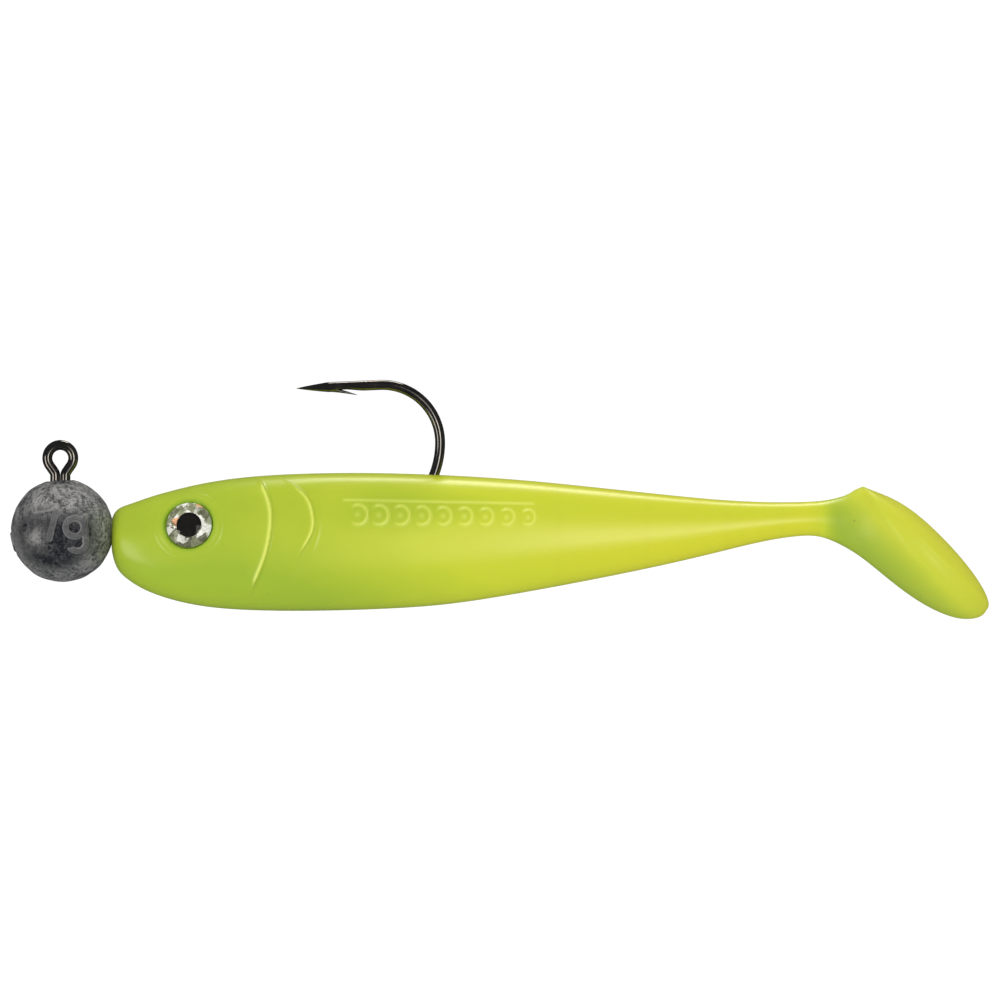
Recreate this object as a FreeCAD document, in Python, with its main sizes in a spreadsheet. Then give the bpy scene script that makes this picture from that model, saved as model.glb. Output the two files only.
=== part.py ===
"""Swimbait rigged on a round jig head, in millimetres.

The frame is the one the lure swims in: +X runs from the snout to the tail, +Z is up, and Y is across.
The origin is the middle of the line eye, the loop of hook wire that the fishing line is tied to.

A lead ball is cast around the heel of the hook. A collar of the same casting runs back inside the soft
bait and grips it. The hook's shank lies along the middle of the bait, and its bend comes out of the back.
The soft bait is one moulding that flexes. It is built here as stiff lengths that turn on each other at
round knuckles, with a small clearance, so that the bend of the plastic is shared between six joints.
"""

import FreeCAD, Part
import Sketcher
import math
import os
from FreeCAD import Placement, Rotation, Vector

# Name of the spreadsheet cell, its value in millimetres or degrees, and what it measures.
DIMENSIONS = [
    ("wire", 1.05, "diameter of the hook wire"),
    ("loop_radius", 1.35, "line eye, middle of the wire"),
    ("loop_leg", 0.53, "from the middle of the eye to each leg of it"),
    ("loop_splay", 35, "lean of the legs as they leave the eye"),
    ("loop_fillet", 0.6, "radius where a leg turns upright"),
    ("loop_tail", 3.4, "depth of the wire's free end below the eye, inside the lead"),
    ("shank_drop", 7.55, "from the line eye down to the shank"),
    ("heel_radius", 1.9, "bend of the wire inside the lead ball"),
    ("bend_start", 30.35, "where the shank begins to curve up"),
    ("bend_lower", 9.15, "radius of the lower half of the bend"),
    ("bend_upper", 6.0, "radius of the upper half of the bend"),
    ("point_lean", 2.4, "lean of the point towards the shank"),
    ("point_straight", 5.4, "straight wire between the bend and the taper"),
    ("point_taper", 3.3, "length of the tapered point"),
    ("point_tip", 0.04, "radius of the very tip"),
    ("barb_back", 0.6, "from the taper's shoulder back to the barb's root"),
    ("barb_root", 0.95, "length of the barb's root on the wire"),
    ("barb_reach", 1.5, "from the barb's root back to its tip"),
    ("barb_drop", 1.15, "from the wire's middle down to the barb's tip"),
    ("barb_width", 0.3, "thickness of the barb"),
    ("ball_x", 0.2, "from the line eye back to the middle of the ball"),
    ("ball_radius", 5.32, "lead ball of seven grams"),
    ("collar_radius", 1.3, "lead collar inside the bait"),
    ("collar_end", 12.3, "from the ball's middle to the end of the collar"),
    ("ridge_start", 8.4, "from the ball's middle to the collar's ridge"),
    ("ridge_length", 2.2, "length of the cone of the ridge"),
    ("ridge_radius", 1.8, "radius of the ridge"),
    ("gate_radius", 1.05, "stub where the casting was cut from its runner"),
    ("gate_height", 0.12, "height of the stub over the ball"),
    ("gate_lean", 13, "angle of the stub below the ball's front"),
    ("eye_x", 13.57, "from the line eye back to the bait's eye"),
    ("eye_drop", 7.03, "from the line eye down to the bait's eye"),
    ("eye_seat", 3.72, "from the middle plane out to the seat of the eye"),
    ("eye_radius", 2.35, "radius of the eye"),
    ("socket_radius", 2.4, "radius of the moulded seat"),
    ("foil_thick", 0.15, "thickness of the foil disc"),
    ("pupil_radius", 1.25, "radius of the pupil"),
    ("pupil_thick", 0.05, "thickness of the pupil print"),
    ("lens_rim", 0.25, "thickness of the clear dome at its rim"),
    ("lens_crown", 1.05, "thickness of the clear dome at its middle"),
    ("knuckle_gap", 0.35, "clearance between two lengths of the bait"),
    ("twist_gap", 0.4, "clearance at the joint where the stem twists"),
    ("sole_crown", 2.2, "height of the domed sole over its rim"),
]

# Sections of the bait, snout to stem: distance back, top, bottom (both below the line eye) and width.
SECTIONS = [
    (5.35, 6.3, 9.8, 3.2),
    (6.2, 5.2, 11.85, 5.8),
    (9.3, 4.05, 13.95, 7.9),
    (14.5, 2.7, 15.4, 9.6),
    (20.8, 1.87, 15.8, 10.6),
    (29.1, 1.56, 15.85, 10.8),
    (39.5, 1.77, 15.3, 10.2),
    (47.8, 2.29, 14.05, 9.3),
    (56.1, 3.12, 12.5, 7.9),
    (64.4, 3.95, 10.7, 5.9),
    (72.8, 4.58, 8.74, 4.1),
    (79.0, 4.47, 8.2, 3.6),
]

# Ovals of the tail's hoof, stem to rim: distance back and drop of the heel, the same of the toe, and width.
HOOF = [
    (79.0, 4.47, 79.0, 8.2, 3.6),
    (81.4, 3.95, 83.2, 10.35, 4.6),
    (83.0, 3.35, 89.4, 14.75, 8.2),
    (83.65, 3.05, 95.75, 16.3, 11.4),
]

# Joints of the bait, snout to tail: name, way it turns, distance back, drop to its axis, knuckle radius.
JOINTS = [
    ("trunk_sway", "Z", 47.0, 8.2, 4.85),
    ("trunk_flex", "Y", 56.5, 7.8, 4.85),
    ("wrist_sway", "Z", 65.5, 7.2, 3.0),
    ("stem_flex", "Y", 73.0, 6.65, 2.15),
    ("stem_twist", "X", 77.0, 6.35, 0),
    ("paddle_swing", "Z", 80.5, 6.6, 1.95),
]

# The stiff lengths of the bait between those joints.
LENGTHS = [
    "bait_head",
    "bait_trunk",
    "bait_waist",
    "bait_wrist",
    "tail_stem_front",
    "tail_stem_rear",
    "tail_paddle",
]

REACH = 40.0  # half the side of the blocks that cut the bait into lengths
BACK_END = 120.0  # a distance back that is past the tail
EYE_PITCH = 14.0  # the eyes look up by this many degrees, as the flank does
EYE_YAW = 7.0  # and forward by this many
UP = Vector(0, 0, 1)
ALONG = Vector(1, 0, 0)
ACROSS = Vector(0, 1, 0)

doc = FreeCAD.newDocument("swimbait")


def make_sheet():
    """Writes the driving dimensions to a spreadsheet with one named cell for each."""
    sheet = doc.addObject("Spreadsheet::Sheet", "dims")
    rows = list(DIMENSIONS)
    for number, (back, top, bottom, width) in enumerate(SECTIONS):
        name = "section_" + "abcdefghijklmnop"[number]
        rows += [(name + "_back", back, "section of the bait, distance back")]
        rows += [(name + "_top", top, "section of the bait, drop to its top")]
        rows += [(name + "_bottom", bottom, "section of the bait, drop to its bottom")]
        rows += [(name + "_width", width, "section of the bait, width")]
    for number, (heel_back, heel_drop, toe_back, toe_drop, width) in enumerate(HOOF):
        name = "hoof_" + "abcdefgh"[number]
        rows += [(name + "_heel_back", heel_back, "oval of the hoof, distance back of its heel")]
        rows += [(name + "_heel_drop", heel_drop, "oval of the hoof, drop of its heel")]
        rows += [(name + "_toe_back", toe_back, "oval of the hoof, distance back of its toe")]
        rows += [(name + "_toe_drop", toe_drop, "oval of the hoof, drop of its toe")]
        rows += [(name + "_width", width, "oval of the hoof, width")]
    for name, way, back, drop, radius in JOINTS:
        rows += [(name + "_back", back, "joint's axis, distance back")]
        rows += [(name + "_drop", drop, "joint's axis, drop")]
        rows += [(name + "_radius", radius, "joint's knuckle, which turns about " + way)]
    for number, (name, value, words) in enumerate(rows, start=1):
        sheet.set(f"A{number}", name)
        sheet.set(f"B{number}", str(value))
        sheet.set(f"C{number}", words)
        sheet.setAlias(f"B{number}", name)
    doc.recompute()
    return sheet


sheet = make_sheet()


def size(name):
    """The value of a named cell."""
    return float(sheet.get(name))


def bind(item, **links):
    """Ties properties of an object to expressions in the spreadsheet's cells, written as dims.name."""
    for path, expression in links.items():
        item.setExpression(path.replace("__", "."), expression)
    return item


def primitive(kind, name, **links):
    """A Part primitive with its sizes tied to the spreadsheet."""
    return bind(doc.addObject(kind, name), **links)


def boolean(kind, name, base, tool):
    """A Part::Cut or Part::Common of two objects."""
    made = doc.addObject(kind, name)
    made.Base = base
    made.Tool = tool
    return made


def fuse(name, *shapes):
    """A Part::MultiFuse of several objects."""
    made = doc.addObject("Part::MultiFuse", name)
    made.Shapes = list(shapes)
    return made


def plane_of(body, role):
    """One of a body's own origin planes."""
    return next(item for item in body.Origin.OriginFeatures if item.Role == role)


def sketch_on(body, name, role="XZ_Plane"):
    """A sketch on an origin plane of a body."""
    sketch = body.newObject("Sketcher::SketchObject", name)
    sketch.AttachmentSupport = [(plane_of(body, role), "")]
    sketch.MapMode = "FlatFace"
    return sketch


def line(sketch, start, end):
    """Adds a straight edge between two (x, y) points."""
    return sketch.addGeometry(Part.LineSegment(Vector(*start, 0), Vector(*end, 0)), False)


def arc(sketch, centre, radius, first, last):
    """Adds an arc that runs counter-clockwise between two angles in degrees."""
    circle = Part.Circle(Vector(*centre, 0), UP, radius)
    return sketch.addGeometry(Part.ArcOfCircle(circle, math.radians(first), math.radians(last)), False)


def rule(sketch, kind, *where):
    """Adds a geometric constraint."""
    sketch.addConstraint(Sketcher.Constraint(kind, *where))


def measure(sketch, name, expression, value, kind, *where):
    """Adds a dimension and ties it to an expression."""
    number = sketch.addConstraint(Sketcher.Constraint(kind, *where, value))
    sketch.renameConstraint(number, name)
    sketch.setExpression("Constraints." + name, expression)


def outline(sketch, points):
    """Straight edges round a closed row of points, joined at their ends. Returns the edges' numbers."""
    edges = [line(sketch, a, b) for a, b in zip(points, points[1:] + points[:1])]
    for first, second in zip(edges, edges[1:] + edges[:1]):
        rule(sketch, "Coincident", first, 2, second, 1)
    return edges


def revolve(body, name, sketch, axis):
    """A full turn of a sketch about one of its own axes."""
    turned = body.newObject("PartDesign::Revolution", name)
    turned.Profile = sketch
    turned.ReferenceAxis = (sketch, [axis])
    turned.Angle = 360
    doc.recompute()
    return turned


def hook_spine(body):
    """The middle line of the wire: free end, line eye, heel, shank, bend, and straight before the point."""
    leg, radius, fillet = size("loop_leg"), size("loop_radius"), size("loop_fillet")
    splay = math.radians(size("loop_splay"))
    low, heel, start = -size("shank_drop"), size("heel_radius"), size("bend_start")
    lower, upper, lean = size("bend_lower"), size("bend_upper"), size("point_lean")
    touch = (radius * math.cos(splay), -radius * math.sin(splay))
    lean_length = (touch[0] - leg) / math.sin(splay)
    corner = touch[1] - lean_length * math.cos(splay)
    reach = fillet * math.tan(splay / 2)
    knee = (leg + reach * math.sin(splay), corner + reach * math.cos(splay))
    centre = low + lower
    top = (start + lower - upper, centre)
    turn = 90 + lean
    last = (
        top[0] + upper * math.cos(math.radians(turn)),
        top[1] + upper * math.sin(math.radians(turn)),
    )
    straight = size("point_straight")
    end = (
        last[0] - straight * math.cos(math.radians(lean)),
        last[1] - straight * math.sin(math.radians(lean)),
    )
    sketch = sketch_on(body, "HookSpine")
    free = line(sketch, (leg, -size("loop_tail")), (leg, corner - reach))
    knee_right = arc(sketch, (leg + fillet, corner - reach), fillet, 180 - size("loop_splay"), 180)
    lean_right = line(sketch, knee, touch)
    loop = arc(sketch, (0, 0), radius, -size("loop_splay"), 180 + size("loop_splay"))
    lean_left = line(sketch, (-touch[0], touch[1]), (-knee[0], knee[1]))
    knee_left = arc(sketch, (-leg - fillet, corner - reach), fillet, 0, size("loop_splay"))
    leg_left = line(sketch, (-leg, corner - reach), (-leg, low + heel))
    heel_arc = arc(sketch, (heel - leg, low + heel), heel, 180, 270)
    shank = line(sketch, (heel - leg, low), (start, low))
    lower_arc = arc(sketch, (start, centre), lower, 270, 360)
    upper_arc = arc(sketch, top, upper, 0, turn)
    point = line(sketch, last, end)
    joins = [
        (free, 2, knee_right, 2),
        (knee_right, 1, lean_right, 1),
        (lean_right, 2, loop, 1),
        (loop, 2, lean_left, 1),
        (lean_left, 2, knee_left, 2),
        (knee_left, 1, leg_left, 1),
        (leg_left, 2, heel_arc, 1),
        (heel_arc, 2, shank, 1),
        (shank, 2, lower_arc, 1),
        (lower_arc, 2, upper_arc, 1),
        (upper_arc, 2, point, 1),
    ]
    for join in joins:
        rule(sketch, "Tangent", *join)
    rule(sketch, "Coincident", loop, 3, -1, 1)
    rule(sketch, "Vertical", free)
    rule(sketch, "Vertical", leg_left)
    rule(sketch, "Horizontal", shank)
    rule(sketch, "Equal", knee_left, knee_right)
    rule(sketch, "Horizontal", lower_arc, 3, upper_arc, 3)
    measure(sketch, "loop", "dims.loop_radius", radius, "Radius", loop)
    measure(sketch, "fillet", "dims.loop_fillet", fillet, "Radius", knee_left)
    measure(sketch, "heel", "dims.heel_radius", heel, "Radius", heel_arc)
    measure(sketch, "lower", "dims.bend_lower", lower, "Radius", lower_arc)
    measure(sketch, "upper", "dims.bend_upper", upper, "Radius", upper_arc)
    measure(sketch, "right_leg", "dims.loop_leg", leg, "DistanceX", -1, 1, free, 1)
    measure(sketch, "left_leg", "dims.loop_leg", leg, "DistanceX", leg_left, 1, -1, 1)
    measure(sketch, "depth", "dims.loop_tail", size("loop_tail"), "DistanceY", free, 1, -1, 1)
    measure(sketch, "drop", "dims.shank_drop", -low, "DistanceY", shank, 1, -1, 1)
    measure(sketch, "start", "dims.bend_start", start, "DistanceX", -1, 1, lower_arc, 3)
    measure(sketch, "straight", "dims.point_straight", straight, "Distance", point)
    fall = straight * math.sin(math.radians(lean))
    fall_rule = "dims.point_straight * sin(dims.point_lean * 1 deg)"
    measure(sketch, "fall", fall_rule, fall, "DistanceY", point, 2, point, 1)
    doc.recompute()
    return sketch, end


def make_hook():
    """Jig hook: one length of round wire, with the line eye at one end and a barbed point at the other."""
    body = doc.addObject("PartDesign::Body", "Hook")
    spine, end = hook_spine(body)
    section = sketch_on(body, "WireSection", "XY_Plane")
    bind(section, AttachmentOffset__Base__z="-dims.loop_tail")
    circle = section.addGeometry(Part.Circle(Vector(size("loop_leg"), 0, 0), UP, size("wire") / 2), False)
    measure(section, "wire_radius", "dims.wire / 2", size("wire") / 2, "Radius", circle)
    measure(section, "leg", "dims.loop_leg", size("loop_leg"), "DistanceX", -1, 1, circle, 3)
    rule(section, "PointOnObject", circle, 3, -1)
    doc.recompute()
    wire = body.newObject("PartDesign::AdditivePipe", "Wire")
    wire.Profile = section
    wire.Spine = (spine, ["Edge%d" % (n + 1) for n in range(len(spine.Geometry))])
    doc.recompute()

    shoulder = Placement(Vector(end[0], end[1], 0), Rotation(UP, size("point_lean")))
    taper = sketch_on(body, "PointProfile")
    taper.AttachmentOffset = shoulder
    half, length, tip = size("wire") / 2, size("point_taper"), size("point_tip")
    edges = outline(taper, [(0, 0), (0, half), (-length, tip), (-length, 0)])
    rule(taper, "Coincident", edges[0], 1, -1, 1)
    rule(taper, "Vertical", edges[0])
    rule(taper, "Vertical", edges[2])
    rule(taper, "PointOnObject", edges[3], 1, -1)
    measure(taper, "shoulder", "dims.wire / 2", half, "DistanceY", edges[0], 1, edges[0], 2)
    measure(taper, "length", "dims.point_taper", length, "DistanceX", edges[3], 1, edges[3], 2)
    measure(taper, "tip", "dims.point_tip", tip, "DistanceY", edges[2], 2, edges[2], 1)
    doc.recompute()
    revolve(body, "Point", taper, "H_Axis")

    root, back = size("barb_back"), size("barb_back") + size("barb_root")
    barb = sketch_on(body, "BarbProfile")
    barb.AttachmentOffset = shoulder
    inside = -0.6 * half
    tip_x = root + size("barb_reach")
    corners = outline(barb, [(root, -0.9 * half), (back, inside), (tip_x, -size("barb_drop"))])
    measure(barb, "root", "dims.barb_back", root, "DistanceX", -1, 1, corners[0], 1)
    measure(barb, "root_depth", "0.45 * dims.wire", 0.9 * half, "DistanceY", corners[0], 1, -1, 1)
    measure(barb, "width", "dims.barb_root", back - root, "DistanceX", corners[0], 1, corners[1], 1)
    measure(barb, "back_depth", "0.3 * dims.wire", -inside, "DistanceY", corners[1], 1, -1, 1)
    measure(barb, "reach", "dims.barb_reach", tip_x - root, "DistanceX", corners[0], 1, corners[2], 1)
    measure(barb, "drop", "dims.barb_drop", size("barb_drop"), "DistanceY", corners[2], 1, -1, 1)
    doc.recompute()
    pad = body.newObject("PartDesign::Pad", "Barb")
    pad.Profile = barb
    pad.Midplane = True
    bind(pad, Length="dims.barb_width")
    doc.recompute()
    body.Label = "jig_hook"
    return body


def make_lead(hook):
    """Lead ball with its collar, cast around the hook in one piece."""
    body = doc.addObject("PartDesign::Body", "Casting")
    bind(body, Placement__Base__x="dims.ball_x", Placement__Base__z="-dims.shank_drop")
    radius, neck = size("ball_radius"), size("collar_radius")
    root = math.sqrt(radius**2 - neck**2)
    ridge, peak = size("ridge_start"), size("ridge_start") + size("ridge_length")
    end, crest = size("collar_end"), size("ridge_radius")
    sketch = sketch_on(body, "CastingProfile")
    ball = arc(sketch, (0, 0), radius, math.degrees(math.atan2(neck, root)), 180)
    corners = [(root, neck), (ridge, neck), (peak, crest), (peak, neck)]
    corners += [(end, neck), (end, 0), (-radius, 0)]
    edges = [line(sketch, a, b) for a, b in zip(corners, corners[1:])]
    for first, second in zip(edges, edges[1:]):
        rule(sketch, "Coincident", first, 2, second, 1)
    rule(sketch, "Coincident", ball, 1, edges[0], 1)
    rule(sketch, "Coincident", ball, 2, edges[-1], 2)
    rule(sketch, "Coincident", ball, 3, -1, 1)
    for edge in (edges[0], edges[3], edges[5]):
        rule(sketch, "Horizontal", edge)
    for edge in (edges[2], edges[4]):
        rule(sketch, "Vertical", edge)
    rule(sketch, "PointOnObject", edges[5], 1, -1)
    rule(sketch, "Horizontal", edges[0], 2, edges[3], 1)
    measure(sketch, "ball", "dims.ball_radius", radius, "Radius", ball)
    measure(sketch, "neck", "dims.collar_radius", neck, "DistanceY", -1, 1, edges[0], 1)
    measure(sketch, "ridge", "dims.ridge_start", ridge, "DistanceX", -1, 1, edges[0], 2)
    measure(sketch, "cone", "dims.ridge_length", peak - ridge, "DistanceX", edges[1], 1, edges[1], 2)
    measure(sketch, "crest", "dims.ridge_radius", crest, "DistanceY", -1, 1, edges[1], 2)
    measure(sketch, "end", "dims.collar_end", end, "DistanceX", -1, 1, edges[4], 1)
    doc.recompute()
    revolve(body, "Ball", sketch, "H_Axis")
    gate = primitive(
        "Part::Cylinder",
        "Gate",
        Radius="dims.gate_radius",
        Height="dims.ball_radius + dims.gate_height",
        Placement__Base__x="dims.ball_x",
        Placement__Base__z="-dims.shank_drop",
    )
    gate.Placement.Rotation = Rotation(ACROSS, -90 - size("gate_lean"))
    solid = fuse("BallAndGate", body, gate)
    lead = boolean("Part::Cut", "Lead", solid, hook)
    lead.Label = "lead_head"
    return lead


def make_section(letter):
    """One upright oval across the bait."""
    name = "dims.section_" + letter
    oval = primitive(
        "Part::Ellipse",
        "Section" + letter.upper(),
        MajorRadius=f"({name}_bottom - {name}_top) / 2",
        MinorRadius=f"{name}_width / 2",
        Placement__Base__x=name + "_back",
        Placement__Base__z=f"-({name}_bottom + {name}_top) / 2",
    )
    oval.Placement.Rotation = Rotation(ACROSS, -90)
    return oval


def loft(name, sections):
    """A smooth solid through a row of closed outlines."""
    made = doc.addObject("Part::Loft", name)
    made.Sections = sections
    made.Solid = True
    made.Ruled = False
    return made


def hoof_oval(kind, name, letter):
    """An oval, or an ellipsoid, laid along the line from the heel to the toe of one section of the hoof."""
    cell = "dims.hoof_" + letter
    heel = Vector(size(f"hoof_{letter}_heel_back"), 0, -size(f"hoof_{letter}_heel_drop"))
    toe = Vector(size(f"hoof_{letter}_toe_back"), 0, -size(f"hoof_{letter}_toe_drop"))
    rise = heel - toe
    half = f"sqrt(({cell}_toe_back - {cell}_heel_back)^2 + ({cell}_toe_drop - {cell}_heel_drop)^2) / 2"
    oval = doc.addObject(kind, name)
    lean = math.degrees(math.atan2(-rise.x, rise.z))
    if kind == "Part::Ellipse":
        oval.Placement.Rotation = Rotation(ACROSS, -90 - lean)
        bind(oval, MajorRadius=half, MinorRadius=cell + "_width / 2")
    else:
        oval.Placement.Rotation = Rotation(ACROSS, 90 - lean)
        bind(oval, Radius2=half, Radius3=cell + "_width / 2", Radius1="dims.sole_crown")
        oval.Angle1 = -90
        oval.Angle2 = 90
        oval.Angle3 = 360
    return bind(
        oval,
        Placement__Base__x=f"({cell}_heel_back + {cell}_toe_back) / 2",
        Placement__Base__z=f"-({cell}_heel_drop + {cell}_toe_drop) / 2",
    )


def make_form():
    """The whole moulding: a tapering trunk and stem, a flare that widens into a hoof, and its domed sole."""
    trunk = loft("Trunk", [make_section("abcdefghijklmnop"[n]) for n in range(len(SECTIONS))])
    letters = "abcdefgh"[: len(HOOF)]
    ovals = [hoof_oval("Part::Ellipse", "Hoof" + letter.upper(), letter) for letter in letters]
    flare = loft("Flare", ovals)
    sole = hoof_oval("Part::Ellipsoid", "Sole", letters[-1])
    return fuse("Moulding", trunk, flare, sole)


def block(name, low, high):
    """A block across the whole bait from one distance back to another."""
    made = doc.addObject("Part::Box", name)
    bind(made, Length=f"({high}) - ({low})", Placement__Base__x=low)
    made.Width = made.Height = 2 * REACH
    made.Placement.Base.y = -REACH
    made.Placement.Base.z = -REACH
    return made


def knuckle(name, joint, way, clearance):
    """A cylinder across the bait, about the joint's own axis."""
    made = primitive(
        "Part::Cylinder",
        name,
        Radius=f"dims.{joint}_radius + {clearance}",
        Placement__Base__x=f"dims.{joint}_back",
    )
    made.Height = 2 * REACH
    if way == "Z":
        made.Placement.Base = Vector(size(joint + "_back"), 0, -REACH)
    else:
        bind(made, Placement__Base__z=f"-dims.{joint}_drop")
        made.Placement = Placement(Vector(0, REACH, -size(joint + "_drop")), Rotation(ALONG, 90))
    return made


def make_length(number, form, extra_cuts):
    """One stiff length of the bait: a round knuckle in front, and a round hollow for the next one behind."""
    name = LENGTHS[number]
    front = JOINTS[number - 1] if number else None
    rear = JOINTS[number] if number < len(JOINTS) else None
    low, high = "-dims.ball_radius", str(BACK_END)
    if front:
        low = f"dims.{front[0]}_back" + (" + dims.twist_gap / 2" if front[1] == "X" else "")
    if rear:
        high = f"dims.{rear[0]}_back" + (" - dims.twist_gap / 2" if rear[1] == "X" else "")
    region = block(name + "_block", low, high)
    if front and front[1] != "X":
        region = fuse(name + "_front", region, knuckle(name + "_knuckle", front[0], front[1], "0"))
    shape = boolean("Part::Common", name + "_length", form, region)
    if rear and rear[1] != "X":
        hollow = knuckle(name + "_hollow", rear[0], rear[1], "dims.knuckle_gap")
        shape = boolean("Part::Cut", name + "_cut", shape, hollow)
    for tool in extra_cuts:
        shape = boolean("Part::Cut", name + "_less_" + tool.Name, shape, tool)
    shape.Label = name
    return shape


def on_eye(item, side, out):
    """Puts a piece on the axis of the bait's eye, side -1 or +1 across, at a distance out from its seat."""
    pitch, yaw = math.radians(EYE_PITCH), math.radians(EYE_YAW)
    normal = Vector(-math.sin(yaw) * math.cos(pitch), side * math.cos(yaw) * math.cos(pitch), math.sin(pitch))
    item.Placement.Rotation = Rotation(UP, normal)
    bind(
        item,
        Placement__Base__x=f"dims.eye_x + ({normal.x:.5f}) * ({out})",
        Placement__Base__y=f"{side} * dims.eye_seat + ({normal.y:.5f}) * ({out})",
        Placement__Base__z=f"-dims.eye_drop + ({normal.z:.5f}) * ({out})",
    )
    return item


def make_lens(name):
    """Clear resin dome, hollowed by the thickness of the pupil print."""
    body = doc.addObject("PartDesign::Body", name + "_body")
    sketch = sketch_on(body, name + "_profile")
    pupil, print_thick = size("pupil_radius"), size("pupil_thick")
    rim_radius, rim, crown = size("eye_radius"), size("lens_rim"), size("lens_crown")
    rise = crown - rim
    dome = (rim_radius**2 + rise**2) / (2 * rise)
    low = crown - dome
    first = math.degrees(math.atan2(rim - low, rim_radius))
    inside = [(0, crown), (0, print_thick), (pupil, print_thick)]
    corners = inside + [(pupil, 0), (rim_radius, 0), (rim_radius, rim)]
    edges = [line(sketch, a, b) for a, b in zip(corners, corners[1:])]
    for one, two in zip(edges, edges[1:]):
        rule(sketch, "Coincident", one, 2, two, 1)
    cap = arc(sketch, (0, low), dome, first, 90)
    rule(sketch, "Coincident", cap, 1, edges[-1], 2)
    rule(sketch, "Coincident", cap, 2, edges[0], 1)
    rule(sketch, "PointOnObject", cap, 3, -2)
    rule(sketch, "PointOnObject", edges[0], 1, -2)
    rule(sketch, "PointOnObject", edges[0], 2, -2)
    rule(sketch, "Horizontal", edges[1])
    rule(sketch, "Vertical", edges[2])
    rule(sketch, "PointOnObject", edges[2], 2, -1)
    rule(sketch, "Horizontal", edges[3])
    rule(sketch, "Vertical", edges[4])
    measure(sketch, "crown", "dims.lens_crown", crown, "DistanceY", -1, 1, edges[0], 1)
    measure(sketch, "print_thick", "dims.pupil_thick", print_thick, "DistanceY", -1, 1, edges[0], 2)
    measure(sketch, "pupil", "dims.pupil_radius", pupil, "DistanceX", -1, 1, edges[2], 2)
    measure(sketch, "rim_radius", "dims.eye_radius", rim_radius, "DistanceX", -1, 1, edges[3], 2)
    measure(sketch, "rim", "dims.lens_rim", rim, "DistanceY", -1, 1, edges[4], 2)
    doc.recompute()
    revolve(body, name + "_turn", sketch, "V_Axis")
    return body


def make_eye(word, side):
    """One eye: a foil disc, the pupil printed on it and the clear dome over both, and the seat to cut."""
    foil = primitive("Part::Cylinder", word + "_foil", Radius="dims.eye_radius", Height="dims.foil_thick")
    on_eye(foil, side, "0")
    thick = "dims.pupil_thick"
    pupil = primitive("Part::Cylinder", word + "_pupil", Radius="dims.pupil_radius", Height=thick)
    on_eye(pupil, side, "dims.foil_thick")
    lens = make_lens(word + "_lens")
    on_eye(lens, side, "dims.foil_thick")
    seat = primitive("Part::Cylinder", word + "_seat", Radius="dims.socket_radius", Height=str(REACH))
    on_eye(seat, side, "0")
    for piece, part in ((foil, "foil"), (pupil, "pupil"), (lens, "lens")):
        piece.Label = f"{word}_eye_{part}"
    return [foil, pupil, lens], seat


def check(pieces):
    """Stops if any object failed, or if a piece's shape is missing or faulty."""
    for item in doc.Objects:
        wrong = [word for word in item.State if word in ("Invalid", "Error")]
        if wrong:
            raise RuntimeError(f"{item.Name} is {wrong}")
    for piece in pieces:
        shape = piece.Shape
        if shape.isNull() or not shape.isValid() or not shape.Solids:
            raise RuntimeError(f"{piece.Label} has no sound shape")
        box = shape.optimalBoundingBox()
        print(
            f"{piece.Label:18} {len(shape.Solids)} solid, {shape.Volume:8.2f} mm3,"
            f" X {box.XMin:6.2f} to {box.XMax:6.2f}, Y {box.YMin:5.2f} to {box.YMax:5.2f},"
            f" Z {box.ZMin:6.2f} to {box.ZMax:5.2f}"
        )


hook = make_hook()
lead = make_lead(hook)
left_eye, left_seat = make_eye("left", -1)
right_eye, right_seat = make_eye("right", 1)
form = make_form()
pieces = [hook, lead, *left_eye, *right_eye]
for number, name in enumerate(LENGTHS):
    cuts = [lead, hook, left_seat, right_seat] if number == 0 else []
    pieces.append(make_length(number, form, cuts))
doc.recompute()
check(pieces)

os.makedirs("parts", exist_ok=True)
for piece in pieces:
    piece.Shape.exportStep(os.path.join("parts", piece.Label + ".step"))
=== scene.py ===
# %% [markdown]
# # A soft swimbait on a round lead jig head
# The lure has three kinds of piece. A steel hook has a lead ball cast around its heel. A soft plastic fish is
# threaded on the hook, and its tail paddles from side to side as it is drawn through the water. A domed eye
# is stuck in a moulded socket on each side of the head.
# The CAD model gives every body its place and its joints. This script adds what the eye sees: skins, metal,
# resin, light and a camera, all in the same frame, in metres.

# %% Load the frame
import math
import bpy
import numpy as np
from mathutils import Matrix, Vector


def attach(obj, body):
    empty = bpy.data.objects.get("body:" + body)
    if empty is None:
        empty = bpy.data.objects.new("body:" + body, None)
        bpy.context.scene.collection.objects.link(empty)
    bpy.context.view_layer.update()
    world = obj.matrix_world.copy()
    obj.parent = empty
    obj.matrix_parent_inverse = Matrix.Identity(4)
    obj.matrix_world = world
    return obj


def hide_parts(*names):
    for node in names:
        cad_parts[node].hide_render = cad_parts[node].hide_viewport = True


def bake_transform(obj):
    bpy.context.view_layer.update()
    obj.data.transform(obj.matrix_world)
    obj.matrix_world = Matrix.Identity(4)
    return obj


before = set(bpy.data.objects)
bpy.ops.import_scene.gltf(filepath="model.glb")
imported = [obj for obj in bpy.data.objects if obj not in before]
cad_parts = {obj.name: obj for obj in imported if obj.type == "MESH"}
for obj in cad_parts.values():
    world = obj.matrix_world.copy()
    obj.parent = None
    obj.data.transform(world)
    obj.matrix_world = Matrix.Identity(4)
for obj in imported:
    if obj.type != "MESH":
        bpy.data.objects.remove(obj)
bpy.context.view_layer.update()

# %% [markdown]
# ## Small helpers
# Every new piece is a surface with two parameters. Rows of points run along the piece and each row goes once
# around it, so the piece is a closed tube whose two ends shrink to a point. One function turns such a grid
# into a mesh. Lengths are worked out in millimetres and become metres only there.

# %% From a grid of points to a mesh
MM = 0.001


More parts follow.
